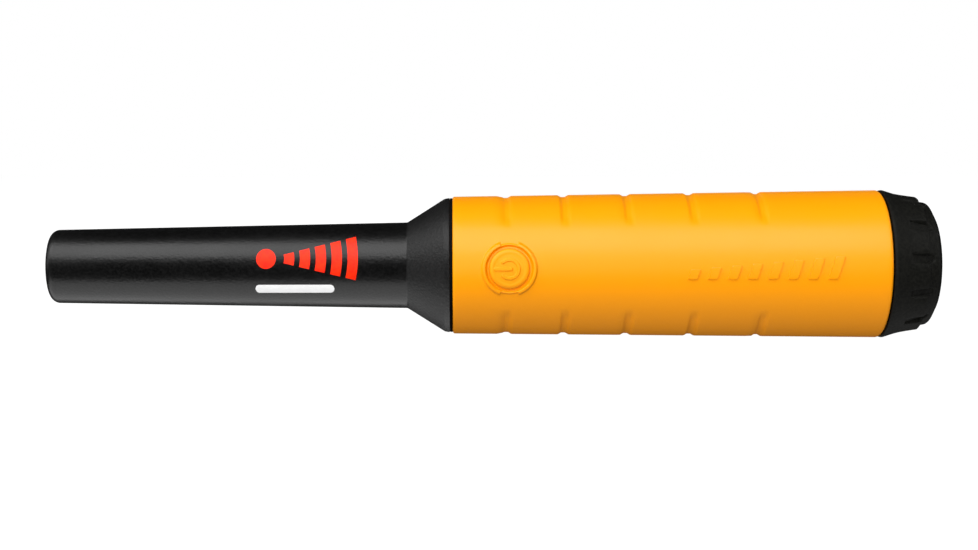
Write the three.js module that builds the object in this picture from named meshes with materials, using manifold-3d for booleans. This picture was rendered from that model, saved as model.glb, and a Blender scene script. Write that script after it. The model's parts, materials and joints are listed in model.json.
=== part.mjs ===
// Handheld pinpointer probe for metal detecting, as an assembly of its separate pieces. Millimetres.
// The probe's axis runs along X. Every x value is a distance from the flat tip towards the end cap.
// The button faces -Y and +Z is up. The body lies on its widest ring, which touches z = 0.
import * as THREE from "three";
import { mergeVertices } from "three/addons/utils/BufferGeometryUtils.js";
import Module from "manifold-3d";

const wasm = await Module();
wasm.setup();

// ---------------------------------------------------------------- driving dimensions
const LENGTH = 237;
const SIDES = 36; // facets round every large turned piece
const SMALL_SIDES = 16; // facets round small turned pieces
const FIT = 0.3; // clearance between fixed neighbours
const CLOSE_FIT = 0.1; // clearance between flat faces that rest on each other
const THREAD_STEPS = 24; // facets in one turn of a thread

const tip = { radius: 9.85, corner: 2.3, wall: 2 };
const shaft = { end: 96.3, radius: 11.57, frontBore: 7.6, rearBore: 9.2 };
const cone = { end: 105.6, radius: 17.5 };
const collar = { crest: 107.2, end: 107.6, radius: 18.1, bore: 14.3 };
const spigot = { end: 115.8 };
const gasketInset = 0.05; // how far the rubber ring sits below the collar

const grip = { start: 108.3, end: 222.8, frontRadius: 18.5, rearRadius: 19.8, bore: 16.4 };
const gripEdge = { front: 0.45, rear: 0.7 }; // bevels at its two ends
const groove = { centres: [122.6, 138.0, 154.7, 171.8, 189.9], width: 3.2, depth: 0.52, frontGap: 36.5 };
const grooveSweep = { steps: 22, fade: 0.08, overcut: 0.02 }; // fade is the share of the sweep that runs out

const button = { x: 123.1, radius: 5.3, hole: 5.6, rise: 0.75, flange: 6.1, flangeThick: 1.0, seat: 16.6 };
const guard = { inner: 6.4, outer: 7.2, ledge: 6.8, ledgeRise: 0.45, rise: 0.6, gapWidth: 4.6 };

const thread = { start: 213.8, turns: 1.9, pitch: 3, minor: 16.45, major: 17.25, crest: 0.7, root: 1.4 };
const threadClear = 0.35;
const threadRun = { ahead: 0.15, extra: 0.7 }; // turns that the groove runs past the ridge
const mouth = { threadStart: 212, sealStart: 220, sealBore: 18 };
const neck = { start: 213, bore: 15.1, boreEnd: 230.2, shoulder: 17.4 };
const gland = { start: 220.5, end: 222.5, radius: 16.2, sealThick: 1.6 };
const cap = { start: 223.1, rimX: 223.8, rim: 19.9, frontEdge: 0.3 };
const capTaper = { start: 224.1, startRadius: 19.85, end: 233.6, endRadius: 16.75 };
const capEnd = { start: 234.8, radius: 16.55, bevelX: 236.4, bevelRadius: 15.1, flat: 13.9 };
const padBore = { radius: 11.8, end: 233.6 };
const wedge = { start: 226.6, end: 232.7, rise: 0.95 };
const recess = { count: 12, first: 7.5, start: 227.9, end: 234.1, width: 2.2, floor: 16.35 };
const recessEnd = { runOut: 0.9, round: 0.35 };

const board = { start: 117.5, end: 171.5, halfWidth: 11.5, front: -7.5, back: -5.9 };
const tray = { start: 116.2, end: 173, halfWidth: 12.8, floor: -5.8, under: -4.2, lip: -9, lipThick: 1 };
const buzzerWindow = { x: [126, 142], z: [-8, 8] };
const rearWindow = { x: [147, 165], z: [1, 8] };
const trayBoss = { radius: 2, height: 2.4, pilotEnd: 1.6 };
const leadNotchHalf = 1.5;
const microcontroller = { x: 151, z: -3, halfX: 5, halfZ: 5, height: 1.2 };
const amplifier = { x: 138, z: -5, halfX: 2.5, halfZ: 3, height: 1.5 };
const tuningCapacitor = { x: 139, z: 5, halfX: 4, halfZ: 2.5, height: 5 };
const supplyCapacitor = { x: 162, z: 4, radius: 2.6, height: 6 };
const buzzer = { x: 134, radius: 6, height: 5 };
const screw = { insetX: 3, z: 9.4, headRadius: 1.8, headHeight: 1, shankRadius: 0.9, length: 4.6, hole: 1.2 };
const key = { size: 6, height: 3.5, bore: 2, boreDepth: 2.3 };
const keyStem = { radius: 1.7, top: -12.6, foot: -10 };
const keyDomeSize = { radius: 1.6, rise: 0.35, thick: 0.15 };

const rod = { start: 6, end: 88, radius: 4 };
const former = { start: 4.2, end: 90, bore: 4.3, radius: 5, flange: 6.9, flangeThick: 1.2, dividerX: 50 };
const winding = { inner: 5.2, outer: 6.5 };
const coilLead = { z: 3, radius: 0.5, bendX: 14, bendY: -5 };

const battery = { end: 227.8, length: 46.4, width: 26.5, height: 17.5, corner: 3 };
const stud = { height: 2.1, offset: 6.35, radius: 2.9, cupBore: 3.35, cupRadius: 4.1 };
const tub = { start: 174, front: 176.2, end: 211.5, wall: 1.2, flange: 2, clearance: 0.3, outer: 16.1 };
const batteryLead = { y: -8, radius: 0.6, hole: 1.4, trayY: -8.3, endY: -8.6 };
const contact = { plateStart: 176.5, plateEnd: 177.6, reach: 180.9, y: [-8.9, 7], z: [-11, 11] };
const contactSnap = { inner: 3.15, outer: 3.9, stud: 3 };

const motor = { x: 145, y: 2.4, z: -6.5, length: 12, radius: 3, shaftRadius: 0.5, wall: 1.2, overhang: 2 };
const motorWeight = { gap: 0.6, length: 4, radius: 4.2, hub: 1.3 };

// ---------------------------------------------------------------- materials
function paint(color, roughness, metalness = 0) {
  return new THREE.MeshStandardMaterial({ color, roughness, metalness });
}
const blackPlastic = paint(0x16161a, 0.5);
const capPlastic = paint(0x121213, 0.75);
const orangePlastic = paint(0xf59a00, 0.45);
const orangeRubber = paint(0xf08e00, 0.6);
const blackRubber = paint(0x101010, 0.9);
const greyFoam = paint(0x4a4a4c, 1);
const greyPlastic = paint(0x5a5c60, 0.6);
const boardGreen = paint(0x1c5a32, 0.5);
const chipBlack = paint(0x1a1a1c, 0.45);
const steel = paint(0xb8b8ba, 0.3, 1);
const brass = paint(0xc9a24a, 0.3, 1);
const copper = paint(0xb8672e, 0.35, 1);
const ferrite = paint(0x2b2b2e, 0.7);
const batteryPaint = paint(0x8a8d92, 0.4, 0.4);
const redWire = paint(0xa81c14, 0.5);
const blackWire = paint(0x151515, 0.5);

// ---------------------------------------------------------------- shape helpers
// A solid of revolution about the X axis from [x, radius] points; its facets touch the true circle.
function turned(profile, sides = SIDES) {
  const stretch = 1 / Math.cos(Math.PI / sides);
  const points = profile.map(([x, radius]) => new THREE.Vector2(radius * stretch, x));
  return new THREE.LatheGeometry(points, sides, Math.PI / sides).rotateZ(-Math.PI / 2);
}

const disc = (start, end, radius, sides = SIDES) =>
  turned([[start, 0], [start, radius], [end, radius], [end, 0]], sides);

const ring = (start, end, inner, outer, sides = SIDES) =>
  turned([[start, inner], [start, outer], [end, outer], [end, inner], [start, inner]], sides);

// A round post along Y between two y values.
function post(low, high, radius, sides = SMALL_SIDES) {
  return new THREE.CylinderGeometry(radius, radius, high - low, sides).translate(0, (low + high) / 2, 0);
}

function block([x0, x1], [y0, y1], [z0, z1]) {
  const centre = [(x0 + x1) / 2, (y0 + y1) / 2, (z0 + z1) / 2];
  return new THREE.BoxGeometry(x1 - x0, y1 - y0, z1 - z0).translate(...centre);
}

// A bar along X with a rounded rectangular section, height along Y and width along Z.
function roundedBar(start, end, width, height, corner) {
  const w = width / 2;
  const h = height / 2;
  const shape = new THREE.Shape();
  shape.moveTo(-w + corner, -h);
  shape.absarc(w - corner, -h + corner, corner, -Math.PI / 2, 0);
  shape.absarc(w - corner, h - corner, corner, 0, Math.PI / 2);
  shape.absarc(-w + corner, h - corner, corner, Math.PI / 2, Math.PI);
  shape.absarc(-w + corner, -h + corner, corner, Math.PI, 1.5 * Math.PI);
  const bar = new THREE.ExtrudeGeometry(shape, { depth: end - start, bevelEnabled: false, curveSegments: 4 });
  return bar.rotateY(Math.PI / 2).translate(start, 0, 0);
}

// A wire through a few points.
function wire(points, radius) {
  const section = new THREE.Shape().absarc(0, 0, radius, 0, 2 * Math.PI);
  const extrudePath = new THREE.CatmullRomCurve3(points.map((p) => new THREE.Vector3(...p)));
  return new THREE.ExtrudeGeometry(section, { extrudePath, steps: 12, curveSegments: 6 });
}

// A section drawn as [x, radius] points, swept round the X axis while it climbs by pitch each turn.
function helix(section, pitch, turns) {
  const shape = new THREE.Shape(section.map(([x, radius]) => new THREE.Vector2(x, radius)));
  const steps = Math.round(THREAD_STEPS * turns);
  const swept = new THREE.ExtrudeGeometry(shape, { depth: turns, steps, bevelEnabled: false });
  const at = swept.getAttribute("position");
  for (let i = 0; i < at.count; i++) {
    const angle = at.getZ(i) * 2 * Math.PI;
    const radius = at.getY(i);
    at.setXYZ(i, at.getX(i) + at.getZ(i) * pitch, radius * Math.cos(angle), radius * Math.sin(angle));
  }
  return swept;
}

// Points on a quarter of an ellipse, from its widest radius to its end.
function shoulder(startX, endX, wide, narrow, steps) {
  return Array.from({ length: steps + 1 }, (_, i) => {
    const angle = (i / steps) * (Math.PI / 2);
    return [startX + (endX - startX) * Math.sin(angle), narrow + (wide - narrow) * Math.cos(angle)];
  });
}

function solid(geometry) {
  const bare = new THREE.BufferGeometry().setAttribute("position", geometry.getAttribute("position"));
  const merged = mergeVertices(bare.setIndex(geometry.index), 1e-4);
  const vertProperties = merged.getAttribute("position").array;
  const triVerts = new Uint32Array(merged.index.array);
  return new wasm.Manifold(new wasm.Mesh({ numProp: 3, vertProperties, triVerts }));
}

function surface(body) {
  const { vertProperties, triVerts } = body.getMesh();
  const geometry = new THREE.BufferGeometry();
  geometry.setAttribute("position", new THREE.BufferAttribute(vertProperties, 3));
  return geometry.setIndex(new THREE.BufferAttribute(triVerts, 1));
}

const carve = (base, ...cuts) => surface(cuts.reduce((body, cut) => body.subtract(solid(cut)), solid(base)));
const fuse = (base, ...parts) => surface(parts.reduce((body, part) => body.add(solid(part)), solid(base)));
const common = (a, b) => surface(solid(a).intersect(solid(b)));

// ---------------------------------------------------------------- the assembly's scene graph
const assembly = new THREE.Group();
assembly.position.set(-LENGTH / 2, 0, cap.rim);

function add(name, geometry, material, place = [0, 0, 0]) {
  const mesh = new THREE.Mesh(geometry, material);
  mesh.name = name;
  mesh.position.set(...place);
  assembly.add(mesh);
}

// ---------------------------------------------------------------- probe housing
// Straight inner wall of the probe, widening from the tip to the cone.
const probeBore = (x) =>
  shaft.frontBore + ((shaft.rearBore - shaft.frontBore) * (x - tip.wall)) / (shaft.end - tip.wall);

function probeHousing() {
  const nose = shoulder(tip.corner, 0, tip.radius, tip.radius - tip.corner, 4).reverse();
  return turned([
    [0, 0],
    ...nose,
    [shaft.end, shaft.radius],
    [cone.end, cone.radius],
    [collar.crest, collar.radius],
    [collar.end, collar.radius],
    [collar.end, grip.bore - FIT],
    [spigot.end, grip.bore - FIT],
    [spigot.end, collar.bore],
    [cone.end, collar.bore],
    [shaft.end, probeBore(shaft.end)],
    [tip.wall, shaft.frontBore],
    [tip.wall, 0],
  ]);
}

// ---------------------------------------------------------------- grip shell
const gripRadius = (x) =>
  grip.frontRadius + ((grip.rearRadius - grip.frontRadius) * (x - grip.start)) / (grip.end - grip.start);

// A shallow finger groove round the back of the grip, which lifts out of the surface at both ends.
function grooveCutter(centre) {
  const surfaceRadius = gripRadius(centre);
  const half = groove.width / 2;
  const section = new THREE.Shape([
    new THREE.Vector2(-half, 0),
    new THREE.Vector2(-half / 2, -groove.depth),
    new THREE.Vector2(half / 2, -groove.depth),
    new THREE.Vector2(half, 0),
    new THREE.Vector2(half, 1),
    new THREE.Vector2(-half, 1),
  ]);
  const { steps, fade, overcut } = grooveSweep;
  const arc = new THREE.ExtrudeGeometry(section, { depth: 1, steps, bevelEnabled: false });
  const at = arc.getAttribute("position");
  const sweep = 2 * Math.PI - 2 * THREE.MathUtils.degToRad(groove.frontGap);
  for (let i = 0; i < at.count; i++) {
    const along = at.getZ(i);
    const lift = groove.depth * (1 - THREE.MathUtils.smoothstep(Math.min(along, 1 - along), 0, fade));
    const angle = (along - 0.5) * sweep; // zero at the back of the grip, +Y
    const radius = surfaceRadius + at.getY(i) + lift + overcut;
    at.setXYZ(i, centre + at.getX(i), radius * Math.cos(angle), radius * Math.sin(angle));
  }
  return arc;
}

// The raised ring round the button, lower and thinner in two gaps; its top follows the grip's round surface.
function buttonGuard() {
  const low = -gripRadius(button.x) - 2;
  const high = -grip.bore - 0.6;
  const hollow = post(-LENGTH, 0, guard.inner, SIDES);
  const gap = block([-guard.gapWidth / 2, guard.gapWidth / 2], [-LENGTH, 0], [-LENGTH, LENGTH]);
  const reach = [-guard.outer - 1, guard.outer + 1];
  const upTo = (rise) => disc(...reach, gripRadius(button.x) + rise);
  const arcs = common(carve(post(low, high, guard.outer, SIDES), hollow, gap), upTo(guard.rise));
  const ledge = common(carve(post(low, high, guard.ledge, SIDES), hollow), upTo(guard.ledgeRise));
  return fuse(arcs, ledge).translate(button.x, 0, 0);
}

// Tapered section of a thread, from below its minor radius out to its crest.
function threadSection(width, crestWidth, inner, outer) {
  const flank = (width - crestWidth) / 2;
  return [[0, inner - 0.25], [width, inner - 0.25], [width - flank, outer], [flank, outer]];
}

function gripShell() {
  const { minor, major, crest, root, pitch, turns, start } = thread;
  const clear = threadClear;
  const body = turned([
    [grip.start, grip.bore],
    [grip.start, grip.frontRadius - gripEdge.front],
    [grip.start + gripEdge.front, gripRadius(grip.start + gripEdge.front)],
    [grip.end - gripEdge.rear, gripRadius(grip.end - gripEdge.rear)],
    [grip.end, gripRadius(grip.end) - gripEdge.rear],
    [grip.end, mouth.sealBore],
    [mouth.sealStart, mouth.sealBore],
    [mouth.sealStart, minor + clear],
    [mouth.threadStart, minor + clear],
    [mouth.threadStart, grip.bore],
    [grip.start, grip.bore],
  ]);
  const lead = threadRun.ahead;
  const groovedSection = threadSection(root + 2 * clear, crest + 2 * clear, minor, major + clear);
  const threadCut = helix(groovedSection, pitch, turns + threadRun.extra);
  threadCut.rotateX(-lead * 2 * Math.PI).translate(start - clear - lead * pitch, 0, 0);
  const insideBore = -grip.bore + 4;
  const seat = post(-button.seat, insideBore, button.flange + 0.2, 24).translate(button.x, 0, 0);
  const hole = post(-LENGTH, insideBore, button.hole, 24).translate(button.x, 0, 0);
  const ringed = fuse(body, buttonGuard());
  return carve(ringed, threadCut, seat, hole, ...groove.centres.map(grooveCutter));
}

// ---------------------------------------------------------------- power button and its switch
function powerButton() {
  const pad = post(-gripRadius(button.x) - 2, -button.seat + CLOSE_FIT, button.radius, 24);
  const flangeFront = -button.seat + CLOSE_FIT;
  const flange = post(flangeFront, flangeFront + button.flangeThick, button.flange, 24);
  const domed = disc(-button.flange - 1, button.flange + 1, gripRadius(button.x) + button.rise);
  return common(fuse(pad, flange), domed);
}

function keyBody() {
  const half = key.size / 2;
  const front = board.front - CLOSE_FIT - key.height;
  const body = block([-half, half], [front, board.front - CLOSE_FIT], [-half, half]);
  return carve(body, post(front - 1, front + key.boreDepth, key.bore));
}

// A thin domed spring disc that the stem presses on.
function keyDome() {
  const { radius, rise, thick } = keyDomeSize;
  const dome = turned([
    [0, 0],
    [rise / 3, radius / 2],
    [rise, radius],
    [rise + thick, radius],
    [rise / 3 + thick, radius / 2],
    [thick, 0],
  ], 12);
  return dome.rotateZ(Math.PI / 2);
}

// ---------------------------------------------------------------- circuit board and tray
const screwPlaces = [board.start + screw.insetX, board.end - screw.insetX].flatMap((x) =>
  [-screw.z, screw.z].map((z) => [x, 0, z]),
);

function screwPosts(low, high, radius, sides) {
  return screwPlaces.map(([x, , z]) => post(low, high, radius, sides).translate(x, 0, z));
}

function circuitBoard() {
  const { start, end, front, back, halfWidth } = board;
  const plate = block([start, end], [front, back], [-halfWidth, halfWidth]);
  return carve(plate, ...screwPosts(front - 1, back + 1, screw.hole, 8));
}

function boardTray() {
  const outside = block([tray.start, tray.end], [tray.lip, tray.under], [-tray.halfWidth, tray.halfWidth]);
  const inset = tray.halfWidth - tray.lipThick;
  const hollow = block([tray.start + 1, tray.end - 1], [tray.lip - 1, tray.floor], [-inset, inset]);
  const throughFloor = [tray.floor - 1, tray.under + 1];
  const windows = [buzzerWindow, rearWindow].map(({ x, z }) => block(x, throughFloor, z));
  const bosses = screwPosts(tray.floor, tray.under + trayBoss.height, trayBoss.radius, 12);
  const pilots = screwPosts(tray.lip, tray.under + trayBoss.pilotEnd, screw.hole, 8);
  const notchSpan = [tray.end - 2, tray.end + 1];
  const leadNotches = [-stud.offset, stud.offset].map((z) =>
    block(notchSpan, [tray.lip - 1, tray.floor], [z - leadNotchHalf, z + leadNotchHalf]));
  const open = carve(outside, hollow, ...windows, ...leadNotches);
  return carve(fuse(open, ...bosses), ...pilots);
}

function boardScrew() {
  const underHead = board.front - CLOSE_FIT;
  const head = post(underHead - screw.headHeight, underHead, screw.headRadius, 12);
  const shank = post(board.front - 0.2, board.front + screw.length, screw.shankRadius, 8);
  const driveSlot = block([-screw.headRadius, screw.headRadius], [-LENGTH, board.front - 0.7], [-0.2, 0.2]);
  return carve(fuse(head, shank), driveSlot);
}

// ---------------------------------------------------------------- search coil in the probe
function coilFormer() {
  const { start, end, bore, radius, flange, flangeThick, dividerX } = former;
  return turned([
    [start, bore],
    [start, flange],
    [start + flangeThick, flange],
    [start + flangeThick, radius],
    [dividerX - flangeThick / 2, radius],
    [dividerX - flangeThick / 2, flange],
    [dividerX + flangeThick / 2, flange],
    [dividerX + flangeThick / 2, radius],
    [end - flangeThick, radius],
    [end - flangeThick, flange],
    [end, flange],
    [end, bore],
    [start, bore],
  ], 24);
}

// ---------------------------------------------------------------- battery bay
function batteryTub() {
  const pocketWidth = battery.width + 2 * tub.clearance;
  const pocketHeight = battery.height + 2 * tub.clearance;
  const corner = battery.corner + tub.clearance;
  const walls = roundedBar(
    tub.start, tub.end, pocketWidth + 2 * tub.wall, pocketHeight + 2 * tub.wall, corner + tub.wall);
  const frontPlate = disc(tub.start, tub.front, tub.outer);
  const rearPlate = disc(tub.end - tub.flange, tub.end, tub.outer);
  const pocket = roundedBar(tub.front, tub.end + 1, pocketWidth, pocketHeight, corner);
  const leadHoles = [-1, 1].map((side) =>
    disc(tub.start - 1, tub.front + 1, batteryLead.hole, 8).translate(0, batteryLead.y, side * stud.offset));
  return carve(fuse(walls, frontPlate, rearPlate), pocket, ...leadHoles);
}

// An open cup that the contact stud snaps into.
function negativeTerminal() {
  const start = battery.end - battery.length - stud.height;
  const end = battery.end - battery.length - CLOSE_FIT;
  const floor = end - 0.4;
  return turned([
    [floor, 0],
    [floor, stud.cupBore],
    [start, stud.cupBore],
    [start, stud.cupRadius],
    [end, stud.cupRadius],
    [end, 0],
  ], SMALL_SIDES);
}

// ---------------------------------------------------------------- end cap
function capCone(x) {
  const { start, startRadius, end, endRadius } = capTaper;
  return startRadius + ((endRadius - startRadius) * (x - start)) / (end - start);
}

// One of the grip recesses of the cap, drawn at the front (-Y) and turned up by an angle in degrees.
function recessCutter(degrees) {
  const outside = -cap.rim - 1;
  const outline = new THREE.Shape([
    new THREE.Vector2(recess.start, outside),
    new THREE.Vector2(recess.start, -capCone(recess.start) - 0.3),
    new THREE.Vector2(recess.end - recessEnd.runOut, -recess.floor),
    new THREE.Vector2(recess.end - recessEnd.round, -recess.floor),
    new THREE.Vector2(recess.end, -recess.floor - recessEnd.round),
    new THREE.Vector2(recess.end, outside),
  ].reverse());
  const cutter = new THREE.ExtrudeGeometry(outline, { depth: recess.width, bevelEnabled: false });
  return cutter.translate(0, 0, -recess.width / 2).rotateX(-THREE.MathUtils.degToRad(degrees));
}

function endCap() {
  const { minor, major, crest, root, pitch, turns, start } = thread;
  const body = turned([
    [neck.start, neck.bore],
    [neck.start, minor],
    [gland.start, minor],
    [gland.start, gland.radius],
    [gland.end, gland.radius],
    [gland.end, neck.shoulder],
    [cap.start, neck.shoulder],
    [cap.start, cap.rim - cap.frontEdge],
    [cap.rimX, cap.rim],
    [capTaper.start, capTaper.startRadius],
    [wedge.start, capCone(wedge.start)],
    [wedge.end, capCone(wedge.end) + wedge.rise],
    [capTaper.end, capTaper.endRadius],
    [capEnd.start, capEnd.radius],
    [capEnd.bevelX, capEnd.bevelRadius],
    [LENGTH, capEnd.flat],
    [LENGTH, 0],
    [padBore.end, 0],
    [padBore.end, padBore.radius],
    [neck.boreEnd, padBore.radius],
    [neck.boreEnd, neck.bore],
    [neck.start, neck.bore],
  ]);
  const ridge = helix(threadSection(root, crest, minor, major), pitch, turns).translate(start, 0, 0);
  const angles = Array.from({ length: recess.count }, (_, i) => recess.first + (i * 360) / recess.count);
  return carve(fuse(body, ridge), ...angles.map(recessCutter));
}

// ---------------------------------------------------------------- everything in its place
function addHousings() {
  add("probe_housing", probeHousing(), blackPlastic);
  add("grip_shell", gripShell(), orangePlastic);
  const gasketFace = [collar.end + CLOSE_FIT, grip.start - CLOSE_FIT];
  add("collar_gasket", ring(...gasketFace, grip.bore, collar.radius - gasketInset), blackRubber);
}

function addSwitch() {
  const flangeBack = -button.seat + CLOSE_FIT + button.flangeThick;
  const onBoard = board.front - CLOSE_FIT;
  const place = [button.x, 0, 0];
  add("power_button", powerButton(), orangeRubber, place);
  add("button_plunger", post(flangeBack + CLOSE_FIT, keyStem.top - CLOSE_FIT, 1.8), greyPlastic, place);
  add("switch_body", keyBody(), chipBlack, place);
  add("switch_stem", post(keyStem.top, keyStem.foot, keyStem.radius, 12), greyPlastic, place);
  const boreFloor = onBoard - key.height + key.boreDepth;
  const domeFront = boreFloor - keyDomeSize.rise - keyDomeSize.thick - 0.05;
  add("switch_dome", keyDome(), steel, [button.x, domeFront, 0]);
}

function addElectronics() {
  const onBoard = board.front - CLOSE_FIT;
  const behindBoard = board.back + CLOSE_FIT;
  add("circuit_board", circuitBoard(), boardGreen);
  const chip = ({ halfX, halfZ, height }) => block([-halfX, halfX], [onBoard - height, onBoard], [-halfZ, halfZ]);
  const place = ({ x, z }) => [x, 0, z];
  add("microcontroller", chip(microcontroller), chipBlack, place(microcontroller));
  add("signal_amplifier", chip(amplifier), chipBlack, place(amplifier));
  add("tuning_capacitor", chip(tuningCapacitor), redWire, place(tuningCapacitor));
  const can = post(onBoard - supplyCapacitor.height, onBoard, supplyCapacitor.radius, 16);
  add("supply_capacitor", can, greyPlastic, place(supplyCapacitor));
  const sounder = post(behindBoard, behindBoard + buzzer.height, buzzer.radius, 24);
  add("buzzer", sounder, chipBlack, [buzzer.x, 0, 0]);
  add("board_tray", boardTray(), greyPlastic);
  screwPlaces.forEach((place, i) => add("board_screw_" + (i + 1), boardScrew(), steel, place));
}

function addMotor() {
  const { x, y, z, length, radius, shaftRadius, wall, overhang } = motor;
  const place = [x, y, z];
  const half = radius + wall;
  const saddle = block([overhang, length - overhang], [tray.under + CLOSE_FIT - y, half], [-half, half]);
  add("motor_bracket", carve(saddle, disc(0, length, radius + 0.1, 24)), greyPlastic, place);
  add("motor_can", disc(0, length, radius, 24), steel, place);
  const ends = [length + motorWeight.gap, length + motorWeight.gap + motorWeight.length];
  const past = [length, ends[1] + 1];
  add("motor_shaft", disc(length + CLOSE_FIT, ends[1] + 0.4, shaftRadius, 8), steel, place);
  const weight = disc(...ends, motorWeight.radius, 24);
  const clearHalf = block(past, [0, 6], [-6, 6]);
  const halfWithHub = fuse(carve(weight, clearHalf), disc(...ends, motorWeight.hub, 12));
  add("motor_weight", carve(halfWithHub, disc(...past, shaftRadius + 0.05, 8)), brass, place);
}

function addSearchCoil() {
  const { start, end, flangeThick, dividerX } = former;
  const frontSlot = [start + flangeThick + CLOSE_FIT, dividerX - flangeThick / 2 - CLOSE_FIT];
  const rearSlot = [dividerX + flangeThick / 2 + CLOSE_FIT, end - flangeThick - CLOSE_FIT];
  add("tip_cushion", disc(tip.wall + CLOSE_FIT, start - CLOSE_FIT, 7, 24), greyFoam);
  add("ferrite_rod", disc(rod.start, rod.end, rod.radius, 24), ferrite);
  add("coil_former", coilFormer(), greyPlastic);
  add("transmit_winding", ring(...frontSlot, winding.inner, winding.outer, 24), copper);
  add("receive_winding", ring(...rearSlot, winding.inner, winding.outer, 24), copper);
  add("coil_collar", ring(end + CLOSE_FIT, end + 3, former.bore, probeBore(end) - FIT, 24), greyFoam);
  [-coilLead.z, coilLead.z].forEach((z, i) => {
    const bend = [end + coilLead.bendX, coilLead.bendY, z];
    const overLip = [tray.start - 1.5, tray.lip - 1.4, z];
    const onBoard = [board.start + 1.8, board.front - 1, z];
    const route = [[end + 3.2, 0, z], bend, overLip, [tray.start + 1, tray.lip - 1, z], onBoard];
    add("coil_lead_" + (i + 1), wire(route, coilLead.radius), copper);
  });
}

function addBattery() {
  const front = battery.end - battery.length;
  const studStart = front - stud.height;
  const { plateStart, plateEnd, reach } = contact;
  const high = [0, 0, stud.offset];
  const low = [0, 0, -stud.offset];
  add("battery_tub", batteryTub(), greyPlastic);
  const { inner, outer, stud: snapStud } = contactSnap;
  add("contact_plate", block([plateStart, plateEnd], contact.y, contact.z), blackRubber);
  add("contact_socket", ring(plateEnd + CLOSE_FIT, reach, inner, outer, SMALL_SIDES), steel, high);
  add("contact_stud", disc(plateEnd + CLOSE_FIT, reach - FIT, snapStud, SMALL_SIDES), steel, low);
  const { end, width, height, corner } = battery;
  add("battery_case", roundedBar(front, end, width, height, corner), batteryPaint);
  add("battery_terminal_positive", disc(studStart, front - CLOSE_FIT, stud.radius, SMALL_SIDES), steel, high);
  add("battery_terminal_negative", negativeTerminal(), steel, low);
  for (const [name, side, material] of [["positive", 1, redWire], ["negative", -1, blackWire]]) {
    const z = side * stud.offset;
    const onPlate = [plateStart - CLOSE_FIT, batteryLead.y, z];
    const onBoard = [board.end - 2.5, batteryLead.endY, z];
    const route = [onPlate, [tray.end, batteryLead.trayY, z], onBoard];
    add("battery_lead_" + name, wire(route, batteryLead.radius), material);
  }
}

function addEndCap() {
  const half = gland.sealThick / 2;
  const middle = (gland.start + gland.end) / 2;
  const circle = Array.from({ length: 11 }, (_, i) => {
    const angle = -(i / 10) * 2 * Math.PI;
    return [middle + half * Math.cos(angle), gland.radius + CLOSE_FIT + half * (1 + Math.sin(angle))];
  });
  add("end_cap", endCap(), capPlastic);
  add("cap_o_ring", turned(circle), blackRubber);
  const padStart = battery.end + FIT;
  add("battery_pad", disc(padStart, padBore.end - CLOSE_FIT, padBore.radius - FIT, 24), greyFoam);
}

addHousings();
addSwitch();
addElectronics();
addMotor();
addSearchCoil();
addBattery();
addEndCap();

export default assembly;
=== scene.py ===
"""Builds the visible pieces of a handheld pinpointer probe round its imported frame, and its stage."""

import json
import math

import bmesh
import bpy
from bpy.props import FloatProperty, FloatVectorProperty, IntProperty, PointerProperty
from mathutils import Matrix, Vector

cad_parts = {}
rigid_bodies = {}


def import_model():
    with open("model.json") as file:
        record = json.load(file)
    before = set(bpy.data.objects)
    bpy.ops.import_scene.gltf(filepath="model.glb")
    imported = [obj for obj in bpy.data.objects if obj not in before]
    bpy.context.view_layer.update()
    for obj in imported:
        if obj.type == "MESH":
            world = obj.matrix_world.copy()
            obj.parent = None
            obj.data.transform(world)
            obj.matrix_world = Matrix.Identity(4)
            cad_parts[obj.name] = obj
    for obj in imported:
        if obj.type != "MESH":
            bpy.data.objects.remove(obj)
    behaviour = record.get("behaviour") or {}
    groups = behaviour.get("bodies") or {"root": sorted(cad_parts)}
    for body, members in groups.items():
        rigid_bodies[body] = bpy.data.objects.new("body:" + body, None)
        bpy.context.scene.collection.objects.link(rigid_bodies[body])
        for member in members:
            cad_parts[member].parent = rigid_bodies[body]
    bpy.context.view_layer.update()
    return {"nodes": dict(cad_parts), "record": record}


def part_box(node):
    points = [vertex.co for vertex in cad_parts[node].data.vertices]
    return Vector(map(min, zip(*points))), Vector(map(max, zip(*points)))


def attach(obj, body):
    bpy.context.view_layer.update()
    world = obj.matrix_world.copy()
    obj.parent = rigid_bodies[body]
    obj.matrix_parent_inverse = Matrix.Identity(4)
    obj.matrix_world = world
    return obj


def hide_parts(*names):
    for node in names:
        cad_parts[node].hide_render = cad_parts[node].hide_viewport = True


bl_info = {
    "name": "Pinpointer Probe",
    "version": (1, 0, 0),
    "blender": (4, 5, 0),
    "location": "3D View > Sidebar > Pinpointer",
    "description": "Builds a metal-detecting pinpointer probe round its packed frame",
    "category": "Add Mesh",
}

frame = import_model()

# ------------------------------------------------------------------ places taken from the frame
MM = 0.001
HOUSING_LOW, HOUSING_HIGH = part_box("probe_housing")
TIP_X = HOUSING_LOW.x
AXIS_Z = (HOUSING_LOW.z + HOUSING_HIGH.z) / 2


def span(node):
    """Where a CAD node starts and ends along the axis, in millimetres from the tip."""
    low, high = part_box(node)
    return (low.x - TIP_X) / MM, (high.x - TIP_X) / MM


def reach(node):
    """The radius of a round CAD node about the axis, in millimetres."""
    low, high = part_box(node)
    return (high.z - low.z) / 2 / MM


SPIGOT_END = span("probe_housing")[1]
GASKET_START, GASKET_END = span("collar_gasket")
GRIP_START, GRIP_END = span("grip_shell")
BUTTON_X = sum(span("power_button")) / 2
CAP_NECK_START, LENGTH = span("end_cap")
SEAL_START, SEAL_END = span("cap_o_ring")
SEAL_RADIUS = reach("cap_o_ring")


# ------------------------------------------------------------------ settings a user would change
def length(name, description, millimetres):
    return FloatProperty(
        name=name, description=description, default=millimetres * MM, unit="LENGTH", precision=5)


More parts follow.
